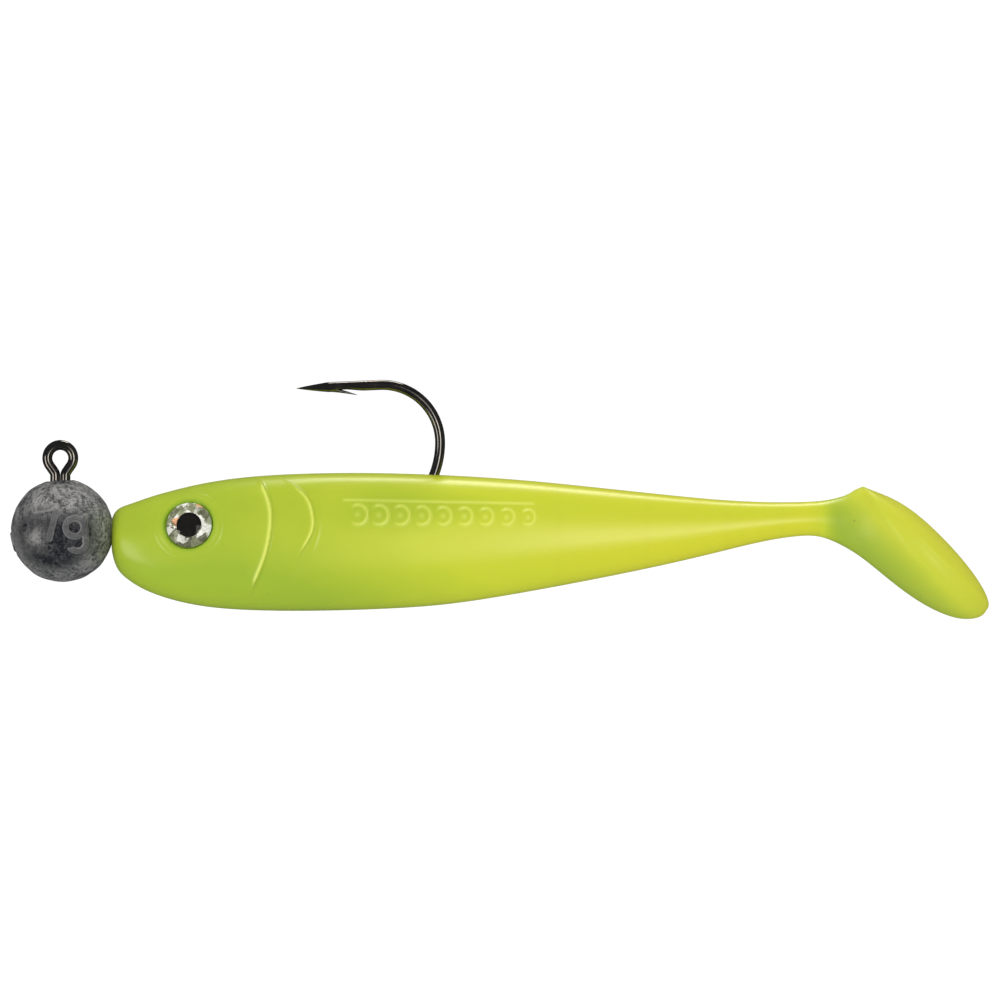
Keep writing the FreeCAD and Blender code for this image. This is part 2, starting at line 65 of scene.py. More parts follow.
def tube_faces(rows, columns):
    """Corners of the four-sided faces of a grid whose columns close into a ring, facing outwards."""
    row, column = np.meshgrid(np.arange(rows - 1), np.arange(columns), indexing="ij")
    beside = (column + 1) % columns
    here, beyond = row * columns, (row + 1) * columns
    corners = (here + column, beyond + column, beyond + beside, here + beside)
    return np.stack(corners, axis=-1).reshape(-1, 4)


def cap_faces(rows, columns):
    """Corners of the triangles that join the first row to one added point, and the last row to another."""
    column = np.arange(columns)
    beside = (column + 1) % columns
    first, last = rows * columns, rows * columns + 1
    low = np.stack((column, beside, np.full(columns, first)), axis=-1)
    top = (rows - 1) * columns
    high = np.stack((top + beside, top + column, np.full(columns, last)), axis=-1)
    return np.concatenate((low, high))


def mesh_from(name, points, quads, triangles, normals=None):
    """A smooth-shaded object from points in millimetres and the corners of its faces."""
    mesh = bpy.data.meshes.new(name)
    mesh.vertices.add(len(points))
    mesh.vertices.foreach_set("co", (points * MM).astype(np.float32).ravel())
    corners = np.concatenate((quads.ravel(), triangles.ravel()))
    sides = np.concatenate((np.full(len(quads), 4), np.full(len(triangles), 3)))
    starts = np.concatenate(([0], np.cumsum(sides)[:-1]))
    mesh.loops.add(len(corners))
    mesh.loops.foreach_set("vertex_index", corners.astype(np.int32))
    mesh.polygons.add(len(sides))
    mesh.polygons.foreach_set("loop_start", starts.astype(np.int32))
    mesh.polygons.foreach_set("use_smooth", np.ones(len(sides), dtype=bool))
    mesh.update(calc_edges=True)
    if normals is not None:
        mesh.normals_split_custom_set_from_vertices(normals.astype(np.float32))
    piece = bpy.data.objects.new(name, mesh)
    bpy.context.collection.objects.link(piece)
    return piece


def tube(name, grid, first_point, last_point, normals=None, end_normals=None):
    """A closed tube from a grid of points (rows, columns, 3) and the points that close its two ends."""
    rows, columns = grid.shape[:2]
    points = np.concatenate((grid.reshape(-1, 3), [first_point, last_point]))
    if normals is not None:
        normals = np.concatenate((normals.reshape(-1, 3), end_normals))
    piece = mesh_from(name, points, tube_faces(rows, columns), cap_faces(rows, columns), normals)
    print(f"{name}: {len(points)} points, {2 * rows * columns} triangles")
    return piece


# %% Curves, steps and bumps
def spline(stations, values):
    """A smooth curve through a few stations: the natural cubic spline, whose bend never jumps."""
    x, y = np.asarray(stations, float), np.asarray(values, float)
    gap = np.diff(x)
    system = np.eye(len(x))
    inside = np.arange(1, len(x) - 1)
    system[inside, inside - 1] = gap[:-1]
    system[inside, inside] = 2 * (gap[:-1] + gap[1:])
    system[inside, inside + 1] = gap[1:]
    bend = np.zeros(len(x))
    bend[1:-1] = 6 * np.diff(np.diff(y) / gap)
    bend = np.linalg.solve(system, bend)

    def at(where):
        cell = np.clip(np.searchsorted(x, where) - 1, 0, len(gap) - 1)
        before, after, width = where - x[cell], x[cell + 1] - where, gap[cell]
        curved = (bend[cell] * after**3 + bend[cell + 1] * before**3) / (6 * width)
        low = (y[cell] / width - bend[cell] * width / 6) * after
        high = (y[cell + 1] / width - bend[cell + 1] * width / 6) * before
        return curved + low + high

    return at


def ramp(value, low, high):
    """Goes smoothly from 0 at low to 1 at high."""
    t = np.clip((value - low) / (high - low), 0, 1)
    return t * t * (3 - 2 * t)


def ridge(distance, half_width):
    """A rounded welt: 1 on the line and near 0 beyond its half width."""
    return np.exp(-((distance / half_width) ** 2))


def to_line(x, z, start, end):
    """Distance from points to a straight stroke between two places."""
    dx, dz = end[0] - start[0], end[1] - start[1]
    along = np.clip(((x - start[0]) * dx + (z - start[1]) * dz) / (dx * dx + dz * dz), 0, 1)
    return np.hypot(x - start[0] - along * dx, z - start[1] - along * dz)


# %% [markdown]
# ## The soft fish
# The real bait is poured from soft plastic into a smooth metal mould. Its shape is a row of ovals: each one
# joins a point on the back to a point on the belly, so the ovals can lean. They stand upright from the snout
# to the thin stem, then fan out around the heel of the tail until they lie along its sole.
# Smooth curves through a few measured ovals give every oval between them. This is how a boat's lines are
# drawn, and it keeps the highlights long and unbroken.

# %% The ovals of the moulding
# How far along, point on the back (x, z), point on the belly (x, z), half width, all in millimetres, and
# squareness: 2 is a true oval.
OVALS = [
    (3.0, 5.36, -7.3, 5.36, -8.8, 0.68, 2.0),
    (3.95, 5.4, -6.34, 5.4, -9.78, 1.5, 2.0),
    (5.15, 5.82, -5.5, 5.82, -11.25, 2.5, 2.05),
    (5.8, 6.2, -5.2, 6.2, -11.86, 2.85, 2.1),
    (7.05, 7.25, -4.78, 7.25, -12.79, 3.35, 2.1),
    (9.33, 9.33, -4.06, 9.33, -13.94, 3.98, 2.15),
    (11.4, 11.4, -3.46, 11.4, -14.66, 4.42, 2.2),
    (14.5, 14.5, -2.72, 14.5, -15.35, 4.84, 2.25),
    (17.6, 17.6, -2.2, 17.6, -15.7, 5.1, 2.3),
    (20.8, 20.8, -1.87, 20.8, -15.85, 5.27, 2.3),
    (24.9, 24.9, -1.65, 24.9, -15.9, 5.37, 2.3),
    (29.1, 29.1, -1.56, 29.1, -15.84, 5.38, 2.3),
    (35.3, 35.3, -1.62, 35.3, -15.6, 5.26, 2.3),
    (39.5, 39.5, -1.77, 39.5, -15.28, 5.1, 2.3),
    (47.8, 47.8, -2.29, 47.8, -14.05, 4.65, 2.3),
    (56.1, 56.1, -3.1, 56.1, -12.5, 3.96, 2.25),
    (64.4, 64.4, -3.97, 64.4, -10.75, 3.02, 2.2),
    (68.6, 68.6, -4.35, 68.6, -9.75, 2.5, 2.1),
    (72.8, 72.8, -4.57, 72.8, -8.75, 2.06, 2.05),
    (76.9, 76.9, -4.58, 76.9, -8.12, 1.82, 2.0),
    (79.0, 79.0, -4.47, 79.0, -8.2, 1.8, 2.0),
    (80.6, 80.4, -4.24, 80.8, -8.85, 1.87, 2.0),
    (82.4, 81.7, -3.85, 83.1, -10.2, 2.15, 2.0),
    (84.6, 82.55, -3.37, 86.0, -12.5, 2.95, 2.0),
    (87.0, 83.08, -3.12, 89.2, -14.85, 4.0, 2.0),
    (89.4, 83.38, -3.01, 92.2, -16.35, 5.0, 2.0),
    (91.2, 83.52, -2.98, 94.3, -16.75, 5.43, 2.0),
    (92.6, 83.58, -2.99, 95.9, -16.35, 5.5, 2.0),
    (93.4, 83.6, -3.02, 96.4, -15.7, 5.43, 2.0),
]
NOSE, RIM, SOLE = 3.0, 93.4, 102.4
table = np.array(OVALS)
curves = [spline(table[:, 0], table[:, column]) for column in range(1, 7)]
back_x, back_z, belly_x, belly_z, half_width, squareness = curves
print("ovals:", len(OVALS), " widest:", round(2 * table[:, 5].max(), 2), "mm")

# %% The plain form
SOLE_CROWN = 2.0
BACK_NARROWER = 0.07
HEEL_SHARPNESS = 0.85


def form(along, turn):
    """Point of the moulding: middle of the oval + cos(turn) up its long axis + sin(turn) across.

    A factor pushes the flanks out towards a rounded square. The back is a little narrower than the belly.
    Past the rim the oval shrinks with the cosine of a quarter turn, and the sole rises with its sine, less
    towards the heel, which leaves a sharp corner there.
    """
    oval = np.minimum(along, RIM)
    up, across = np.cos(turn), np.sin(turn)
    power = squareness(oval)
    bulge = (np.abs(up) ** power + np.abs(across) ** power) ** (-1 / power)
    x = (back_x(oval) + belly_x(oval)) / 2 + (back_x(oval) - belly_x(oval)) / 2 * up * bulge
    z = (back_z(oval) + belly_z(oval)) / 2 + (back_z(oval) - belly_z(oval)) / 2 * up * bulge
    y = half_width(oval) * across * bulge * (1 - BACK_NARROWER * up)
    heel, toe = table[-1, 1:3], table[-1, 3:5]
    middle = (heel + toe) / 2
    length = np.hypot(*(toe - heel))
    normal = np.array([heel[1] - toe[1], toe[0] - heel[0]]) / length
    quarter = np.clip((along - RIM) / (SOLE - RIM), 0, 1) * math.pi / 2
    shrink, rise = np.cos(quarter), np.sin(quarter) * SOLE_CROWN
    to_heel = np.clip(up * shrink, 0, 1)
    rise = rise * (1 - HEEL_SHARPNESS * to_heel**4)
    x = middle[0] + (x - middle[0]) * shrink + normal[0] * rise
    z = middle[1] + (z - middle[1]) * shrink + normal[1] * rise
    return np.stack((x, y * shrink, z), axis=-1)


def normals_of(surface, along, turn, step=0.01):
    """Outward directions of a surface: the cross product of its slopes along and around."""
    along_slope = surface(along + step, turn) - surface(along - step, turn)
    around_slope = surface(along, turn + step / 4) - surface(along, turn - step / 4)
    normal = np.cross(along_slope, around_slope)
    return normal / np.maximum(np.linalg.norm(normal, axis=-1, keepdims=True), 1e-12)


# %% [markdown]
# ## What the mould adds
# The mould is engraved, so the bait has low relief: two gill edges, a rim around each eye, and a plain row of
# scales under a thin line. They are real geometry here, because they catch the light along their edges.
# Each one is a height that depends on the place seen from the side, added along the surface's own direction.
# The socket is different: its floor is flat and square to the eye, so it moves points along the eye's axis.

# %% Gills, scales and eye rims
# For each gill edge: heights, the places back at those heights, and how far the edge stands out.
GILLS = [
    ((-2.2, -4.76, -7.41, -10.6, -12.7, -14.4), (20.66, 21.8, 21.9, 21.2, 20.35, 19.6), 0.22),
    ((-2.3, -3.43, -5.6, -7.3, -9.2, -11.0), (23.3, 25.0, 26.25, 26.3, 25.4, 24.3), 0.2),
]
EYE = np.array([13.57, 3.72, -7.03])
EYE_PITCH, EYE_YAW = math.radians(14), math.radians(7)
LEVEL = math.cos(EYE_PITCH)
EYE_AXIS = np.array([-math.sin(EYE_YAW) * LEVEL, math.cos(EYE_YAW) * LEVEL, math.sin(EYE_PITCH)])
SOCKET = 2.42
SOCKET_DEPTH = 0.04
SCALES, PITCH = 9, 2.2


def gill_height(x, z):
    """A rounded lip along a curve, with a plate that swells in front of it and drops behind it."""
    height = np.zeros_like(x)
    for levels, places, lift in GILLS:
        edge = spline(levels[::-1], places[::-1])(np.clip(z, levels[-1], levels[0]))
        behind = x - edge
        ends = ramp(z, levels[-1] - 0.6, levels[-1] + 2.5) * (1 - ramp(z, levels[0] - 1.2, levels[0] + 0.3))
        plate = np.exp(np.minimum(behind, 0) / 1.6) * (1 - ramp(behind, 0.0, 0.45))
        height += lift * ends * (0.75 * plate + 0.5 * ridge(behind, 0.2))
    companion = spline((-10.4, -7.1, -4.2), (26.0, 27.0, 26.6))(np.clip(z, -10.4, -4.2))
    ends = ramp(z, -10.6, -8.5) * (1 - ramp(z, -5.5, -4.0))
    return height + 0.04 * ends * ridge(x - companion, 0.22)


def scale_height(x, z):
    """A thin raised line over a row of nine scale edges, each a part of a circle that opens forwards."""
    line = 0.07 * ridge(to_line(x, z, (29.6, -4.35), (49.2, -4.75)), 0.13)
    number = np.clip(np.round((x - 31.0) / PITCH), 0, SCALES - 1)
    size = 1.02 - 0.03 * number
    dx, dz = x - (31.0 + PITCH * number), z + 5.85 + 0.03 * number
    radius = np.hypot(dx, dz)
    open_side = ramp(dx, -0.75, -0.2)
    return line + 0.085 * ridge(radius - size, 0.15) * open_side + 0.05 * ridge(radius, 0.25)


def eye_rim_height(distance):
    """A soft swell beside the socket and a fainter step further out."""
    swell = 0.1 * ridge(distance - 2.85, 0.3)
    return swell + 0.05 * (1 - ramp(distance, 3.5, 3.75)) * ramp(distance, 2.6, 3.3)


def eye_distance(points):
    """Distance of points from the axis of the nearer eye, and their height over its seat."""
    side = np.where(points[..., 1] < 0, -1.0, 1.0)[..., None]
    axis = EYE_AXIS * np.concatenate((np.ones_like(side), side, np.ones_like(side)), axis=-1)
    centre = EYE * np.concatenate((np.ones_like(side), side, np.ones_like(side)), axis=-1)
    offset = points - centre
    height = np.sum(offset * axis, axis=-1)
    return np.linalg.norm(offset - height[..., None] * axis, axis=-1), height, axis


def skin(along, turn):
    """The plain form raised by the relief along its own normal, then cut flat inside the two sockets."""
    points = form(along, turn)
    x, z = points[..., 0], points[..., 2]
    distance, height, axis = eye_distance(points)
    side_on = ramp(np.abs(np.sin(turn)), 0.12, 0.5)
    lift = gill_height(x, z) * side_on + scale_height(x, z) * side_on + eye_rim_height(distance) * side_on
    points = points + normals_of(form, along, turn) * lift[..., None]
    distance, height, axis = eye_distance(points)
    inside = 1 - ramp(distance, SOCKET, SOCKET + 0.2)
    near = inside * (np.abs(x - EYE[0]) < 5) * (height > -1)
    return points - axis * (near * (height + SOCKET_DEPTH))[..., None]


# %% [markdown]
# ## One moulding, six bends
# The bait flexes at six joints, and a skin can bend at only one of them. So the moulding is cut into six
# skins. Every cut lies where both neighbours follow the same body, so it never opens. Both edges have the
# same points and the same directions, worked out from the formula and not from the faces, so the shine runs
# across the cut. A short plug, a few hundredths of a millimetre smaller, closes each skin inside the next.

# %% Cut the moulding into skins
COLUMNS = 288
AROUND = np.linspace(0, 2 * math.pi, COLUMNS, endpoint=False)
# Name, start, end, bodies in front and behind, where the bend starts and ends, spacing of the rings.
SKINS = [
    ("bait_front_skin", NOSE, 51.75, "jig", "trunk", 43.6, 50.4, 0.19),
    ("bait_trunk_skin", 51.75, 61.0, "trunk", "waist", 53.3, 59.7, 0.2),
    ("bait_waist_skin", 61.0, 69.2, "waist", "wrist", 62.7, 68.3, 0.2),
    ("bait_wrist_skin", 69.2, 75.0, "wrist", "stem_front", 71.2, 74.8, 0.18),
    ("tail_stem_skin", 75.0, 78.75, "stem_front", "stem_rear", 75.6, 78.4, 0.16),
    ("tail_paddle_skin", 78.75, SOLE, "stem_rear", "paddle", 78.9, 82.1, 0.13),
]


def ring_places(start, end, spacing):
    """Where the rings lie: evenly spaced, but on the head closer around the eyes and across the gills."""
    zones = [(start, end, spacing)]
    if start == NOSE:
        zones = [(start, 9.2, 0.2), (9.2, 18.4, 0.09), (18.4, 28.4, 0.13), (28.4, end, spacing)]
    runs = []
    for low, high, step in zones:
        runs.append(np.linspace(low, high, math.ceil((high - low) / step), endpoint=False))
    return np.append(np.concatenate(runs), end)


def plug(along, end_of_bait):
    """The rows that close a skin inside its neighbour: two smaller rings beyond the cut."""
    way = 1 if end_of_bait else -1
    places = along + way * np.array([0.25, 0.9])
    rings = skin(places[:, None], AROUND[None, :])
    inset = np.array([0.012, 0.03])[:, None, None]
    facing = normals_of(skin, places[:, None], AROUND[None, :])
    return rings - facing * inset, facing


def end_direction(ring, way):
    """Where a skin's closing point faces: as the ring beside it does, or straight along the bait."""
    mean = ring.mean(axis=0) * (1, 0, 1)
    length = np.linalg.norm(mean)
    return mean / length if length > 0.1 else np.array([way, 0, 0])


def make_skin(name, start, end, spacing):
    """One length of the moulding, closed at both ends."""
    places = ring_places(start, end if end < SOLE else SOLE - 0.06, spacing)
    along, turn = places[:, None], AROUND[None, :]
    grid, facing = skin(along, turn), normals_of(skin, along, turn)
    first = form(np.array([NOSE]), np.array([math.pi / 2]))[0] * (1, 0, 1) + (0.12, 0, 0)
    last = form(np.array([SOLE]), np.array([0.0]))[0] * (1, 0, 1)
    if start > NOSE:
        rings, directions = plug(start, False)
        grid, facing = np.concatenate((rings[::-1], grid)), np.concatenate((directions[::-1], facing))
        first = grid[0].mean(axis=0)
    if end < SOLE:
        rings, directions = plug(end, True)
        grid, facing = np.concatenate((grid, rings)), np.concatenate((facing, directions))
        last = grid[-1].mean(axis=0)
    ends = [end_direction(facing[0], -1.0), end_direction(facing[-1], 1.0)]
    return tube(name, grid, first, last, facing, ends)


skins = {name: make_skin(name, start, end, spacing) for name, start, end, _, _, _, _, spacing in SKINS}

# %% [markdown]
# ## What the plastic's colour depends on
# The bait is one colour of plastic, but it doesn't look so, and the masks paint its light and shade into that
# colour.
# The thin rear is painted yellow, as if lit through, and the head greener, with painted shade on the lower
# half of the fore part, in a band under the back and on the paddle's front edge. Four masks are stored on the
# points, where they follow the surface as it bends: how yellow a place is painted, the painted shade in the
# ring around each eye, the painted highlight on the lip of each raised edge, and how matt it is. A fifth
# attribute keeps each point's place at rest, for patterns that must not slide when the skin bends.

# %% Masks on the skins
def add_masks(piece):
    """Stores painted yellowness, painted eye shade, painted lip highlights, how matt it is and the place at
    rest as attributes of the points.
    """
    mesh = piece.data
    points = np.empty(len(mesh.vertices) * 3, dtype=np.float32)
    mesh.vertices.foreach_get("co", points)
    points = points.reshape(-1, 3) / MM
    x, y, z = points.T
    back, belly = back_z(np.clip(x, 5.4, 80)), belly_z(np.clip(x, 5.4, 80))
    # Painted shade: the lower half of the fore part is made less yellow, as if in shade under the belly.
    low = ramp((back + belly) / 2 - z, -1.0, 6.0) * (1 - ramp(x, 50, 66))
    # Painted shade: a greener band under the back, between the highlight along the back and the one on the
    # flank.
    painted_back_shade = ridge((back - z) / (back - belly) - 0.24, 0.18) * ramp(x, 26, 36) * (1 - ramp(x, 75, 80))
    # Painted light: yellow grows towards the thin rear, as if lit through, and the head stays greener.
    yellow = 0.12 + 0.88 * ramp(x, 14, 66)
    yellow = yellow - 0.25 * low - 0.3 * painted_back_shade
    # Painted shade: on the paddle the yellow fades away from the sole, towards its lower front edge.
    from_sole = (84.0 - x) * 0.71 + (-3.0 - z) * 0.704
    paddle = ramp(x, 77.0, 81.2)
    yellow = yellow * (1 - paddle) + paddle * (1 - ramp(from_sole, -2.5, 5.5))
    distance, height, _ = eye_distance(points)
    # Painted shade: a ring around each eye's socket.
    painted_eye_shade = ridge(distance - SOCKET - 0.1, 0.28) * (np.abs(x - EYE[0]) < 5)
    # Painted highlight: the lips of the gill edges and scale lines.
    painted_lip_highlight = np.minimum(gill_height(x, z) / 0.23, 1) ** 5 + scale_height(x, z) / 0.12
    painted_lip_highlight = painted_lip_highlight * (np.abs(y) > 1.5)
    matt = ramp(x, 79.0, 83.5)
    for name, values in (("yellow", yellow), ("painted_eye_shade", painted_eye_shade), ("painted_lip_highlight", painted_lip_highlight), ("matt", matt)):
        attribute = mesh.attributes.new(name, "FLOAT", "POINT")
        attribute.data.foreach_set("value", np.clip(values, 0, 1).astype(np.float32))
    place = mesh.attributes.new("rest_place", "FLOAT_VECTOR", "POINT")
    place.data.foreach_set("vector", points.astype(np.float32).ravel())


for piece in skins.values():
    add_masks(piece)

# %% [markdown]
# ## The lead ball
# Lead is cast in a two-part mould around the hook, so the ball and the collar behind it are one piece. The
# ball shows what casting leaves: a faint parting line where the mould halves met, a flat stub where the
# casting was snipped from its runner, a weight mark in plain raised strokes, and a grainy, lumpy skin.
# The surface is a profile turned about the ball's long axis. Its relief is a height over the round form.

# %% The ball and its collar
BALL = np.array([0.2, 0.0, -7.55])
BALL_RADIUS = 5.32
NECK, RIDGE, COLLAR_END = 1.3, 1.8, 12.3
GATE_LEAN = math.radians(13)
LEG = 0.53


def points_from(x, y, z):
    """A grid of points from three arrays that stretch to one shape."""
    return np.stack(np.broadcast_arrays(x, y, z), axis=-1)


def lumps(points, size, count, seed):
    """Cheap noise: many sine waves in random directions, added up. Size is the wavelength in millimetres."""
    dice = np.random.default_rng(seed)
    waves = dice.normal(size=(count, 3))
    waves /= np.linalg.norm(waves, axis=1, keepdims=True)
    waves *= 2 * math.pi / (size * dice.uniform(0.6, 1.6, size=(count, 1)))
    return np.sin(points @ waves.T + dice.uniform(0, 2 * math.pi, count)).sum(axis=-1) / math.sqrt(count)


def mark_height(x, z):
    """The weight mark: a seven and a small g, each made of plain strokes with a round pen."""
    x, z = x + BALL[0] - 0.22, z + BALL[2] - 0.05
    corner = (-0.3, -5.1)
    seven = np.minimum(to_line(x, z, (-2.55, -5.5), corner), to_line(x, z, corner, (-1.05, -8.4)))
    bowl = np.abs(np.hypot(x - 1.5, z + 7.25) - 0.92)
    stem = to_line(x, z, (2.5, -6.2), (2.62, -8.7))
    hook_radius = np.hypot(x - 1.75, z + 8.75)
    hook_end = np.where(z < -8.7, np.abs(hook_radius - 0.9), 9.0)
    hook_end = np.where((x < 1.3) & (z > -9.35), 9.0, hook_end)
    return np.minimum.reduce((seven, bowl, stem, hook_end))


def ball_profile():
    """Distance along the axis and radius: a half circle, then the neck, the ridge and the end."""
    neck_angle = math.asin(NECK / BALL_RADIUS)
    angle = np.linspace(math.pi - 0.012, neck_angle, 250)
    ball = BALL_RADIUS * np.stack((np.cos(angle), np.sin(angle)), axis=-1)
    collar = [(5.4, NECK), (8.4, NECK), (8.45, NECK), (10.55, RIDGE), (10.6, RIDGE)]
    collar += [(10.65, NECK + 0.05), (10.7, NECK), (12.2, NECK)]
    collar += [(12.28, NECK - 0.05), (COLLAR_END, NECK - 0.15)]
    return np.concatenate((ball, collar)).T


def make_lead():
    """The casting: (along, radius * sin(turn), radius * cos(turn)), its relief pushed outwards."""
    along, radius = ball_profile()
    turn = np.linspace(0, 2 * math.pi, 300, endpoint=False)
    out = radius[:, None]
    points = points_from(along[:, None], out * np.sin(turn), out * np.cos(turn))
    away = points / np.linalg.norm(points, axis=-1, keepdims=True)
    on_ball = (1 - ramp(along, 4.6, 5.1))[:, None]
    x, y, z = points[..., 0], points[..., 1], points[..., 2]
    mark = (1 - ramp(mark_height(x, z), 0.16, 0.4)) * (y < -2)
    height = 0.26 * mark + 0.02 * lumps(points, 2.4, 40, 3) + 0.006 * lumps(points, 0.7, 60, 4)
    height += 0.05 * ridge(y, 0.12) * (0.6 + 0.4 * lumps(points, 1.7, 20, 5))
    gate = np.array([-math.cos(GATE_LEAN), 0, -math.sin(GATE_LEAN)])
    to_gate = np.linalg.norm(points - BALL_RADIUS * gate, axis=-1)
    flat = 1 - ramp(to_gate, 0.9, 1.05)
    level = BALL_RADIUS + 0.02 - np.sum(points * gate, axis=-1)
    height = height * (1 - flat) + flat * level - 0.1 * ridge(to_gate - 1.2, 0.14)
    for leg in (-LEG, LEG):
        top = np.hypot(x - leg + BALL[0], y) + 9 * (z < 0)
        height -= 0.09 * ridge(np.maximum(top - 0.55, 0), 0.22)
    points = points + away * (height * on_ball)[..., None]
    first = -np.array([1, 0, 0]) * (BALL_RADIUS - 0.005)
    piece = tube("lead_casting", points + BALL, BALL + first, BALL + (COLLAR_END, 0, 0))
    # Painted light on the ball: shade on the lower half, fading towards the outline seen side on, and a
    # painted highlight spot at the lower left of the seven.
    painted_ball_shade = (1 - ramp(z, 0.2, 2.8)) * (1 - 0.9 * ramp(np.hypot(x + 0.6, z), 3.0, 4.9))
    painted_ball_shade *= 1 - 0.9 * ridge(np.hypot(x + 2.5, z + 0.7), 1.3)
    for name, values in (("mark", mark), ("gate", flat), ("painted_ball_shade", painted_ball_shade)):
        attribute = piece.data.attributes.new(name, "FLOAT", "POINT")
        attribute.data.foreach_set("value", np.append(values.ravel(), (0, 0)).astype(np.float32))
    return piece


lead = make_lead()

# %% [markdown]
# ## The hook
# The hook is one length of round wire. It starts hidden in the lead, rises into the line eye, goes back
# down, turns at the heel, runs through the bait and bends up out of its back. Its end is ground to a long
# point, and a barb is raised from the wire by a slanting cut. The path is straight runs and arcs that meet
# smoothly, as the real wire is bent around round pegs. A circle carried along the path is the wire.

# %% The path of the wire
WIRE = 1.05
POINT_LEAN = 2.4


def arc_points(centre, radius, first, last):
    """Points on an arc from one angle to another, in degrees, about every eighth of a millimetre."""
    count = max(4, int(abs(math.radians(last - first)) * radius / 0.12))
    angle = np.radians(np.linspace(first, last, count))
    return np.stack((centre[0] + radius * np.cos(angle), centre[1] + radius * np.sin(angle)), axis=-1)


def run_points(start, end):
    """Points on a straight run, without its two ends, which belong to the arcs beside it."""
    start, end = np.array(start), np.array(end)
    count = max(2, int(np.linalg.norm(end - start) / 0.12))
    share = np.linspace(0, 1, count + 1)[1:-1, None]
    return start * (1 - share) + end * share


def hook_path():
    """The middle line of the wire, from its hidden end to the shoulder of the point."""
    leg, loop, splay, fillet = LEG, 1.35, 35.0, 0.6
    cos, sin = math.cos(math.radians(splay)), math.sin(math.radians(splay))
    corner = -loop * sin - (loop * cos - leg) / sin * cos
    reach = fillet * math.tan(math.radians(splay / 2))
    level, heel, start, lower, upper, lean = -7.55, 1.9, 30.35, 9.15, 6.0, POINT_LEAN
    runs = [
        np.array([(leg, -3.4)]),
        run_points((leg, -3.4), (leg, corner - reach)),
        arc_points((leg + fillet, corner - reach), fillet, 180, 180 - splay),
        run_points((leg + reach * sin, corner + reach * cos), (loop * cos, -loop * sin)),
        arc_points((0, 0), loop, -splay, 180 + splay),
        run_points((-loop * cos, -loop * sin), (-leg - reach * sin, corner + reach * cos)),
        arc_points((-leg - fillet, corner - reach), fillet, splay, 0),
        run_points((-leg, corner - reach), (-leg, level + heel)),
        arc_points((heel - leg, level + heel), heel, 180, 270),
        run_points((heel - leg, level), (start, level)),
        arc_points((start, level + lower), lower, 270, 360),
        arc_points((start + lower - upper, level + lower), upper, 0, 90 + lean)[1:],
    ]
    last = runs[-1][-1]
    way = np.array([-math.cos(math.radians(lean)), -math.sin(math.radians(lean))])
    runs.append(last + way * np.linspace(0.12, 8.7, 90)[:, None])
    return np.concatenate(runs)


path = hook_path()
steps = np.linalg.norm(np.diff(path, axis=0), axis=1)
print("wire length:", round(float(steps.sum()), 1), "mm, tip at", path[-1].round(2))

# %% The wire, its point and its barb
POINT_LENGTH = 3.3


def in_plane(place):
    """The point of the middle plane at an (x, z) place."""
    return np.array([place[0], 0, place[1]])


def make_hook():
    """Carries a circle along the path: path + side * radius * cos(turn), and radius * sin(turn) across.

    Near the tip the radius falls in a slightly bulging curve to the point.
    The barb is a tongue pulled down and back from the wire's underside, and the wire above it is cut away.
    """
    along = np.concatenate(([0], np.cumsum(steps)))
    to_tip = along[-1] - along
    way = np.gradient(path, axis=0)
    way /= np.linalg.norm(way, axis=1, keepdims=True)
    side = np.stack((-way[:, 1], way[:, 0]), axis=-1)
    turn = np.linspace(0, 2 * math.pi, 40, endpoint=False)
    share = np.clip(to_tip / POINT_LENGTH, 0, 1)
    radius = WIRE / 2 * np.maximum(share**0.8, 0.03)
    out = radius[:, None] * np.cos(turn)
    across = radius[:, None] * np.sin(turn)
    inner = ramp(np.cos(turn), 0.2, 0.95)[None, :]
    cut = (ramp(to_tip, 3.9, 4.6) * (1 - ramp(to_tip, 4.9, 7.2)))[:, None]
    out = out - inner * cut * 0.2
    x, z = path[:, :1] + side[:, :1] * out, path[:, 1:] + side[:, 1:] * out
    last = in_plane(path[-1]) + in_plane(way[-1]) * 0.02
    return tube("hook_wire", points_from(x, across, z), in_plane(path[0]), last)


hook = make_hook()


def make_barb():
    """A tapering tongue: middle + tall * cos(turn) up + wide * sin(turn) across, shrinking as it drops."""
    lean = math.radians(POINT_LEAN)
    back = np.array([math.cos(lean), math.sin(lean)])
    down = np.array([math.sin(lean), -math.cos(lean)])
    share = np.linspace(0, 1, 24)
    behind, drop = POINT_LENGTH + 3.0 * share, 0.22 + 0.72 * share**1.25
    middle = path[-1] + back * behind[:, None] + down * drop[:, None]
    tall = 0.27 * (1 - share) ** 0.8 + 0.015
    wide = 0.34 * (1 - share) ** 0.7 + 0.015
    turn = np.linspace(0, 2 * math.pi, 28, endpoint=False)
    rise = tall[:, None] * np.cos(turn)
    x, z = middle[:, :1] - down[0] * rise, middle[:, 1:] - down[1] * rise
    points = points_from(x, wide[:, None] * np.sin(turn), z)
    last = in_plane(middle[-1]) + in_plane(back) * 0.03
    return tube("hook_barb", points, in_plane(middle[0]), last)


barb = make_barb()

# %% [markdown]
# ## The eyes
# Each eye is a sticker: crumpled silver film, a black pupil printed on it, and a drop of clear resin that
# sets as a dome. All three are turned about the eye's axis, so one function makes them from a profile. The
# film gets its crumples from folded noise, which is pushed along the axis.

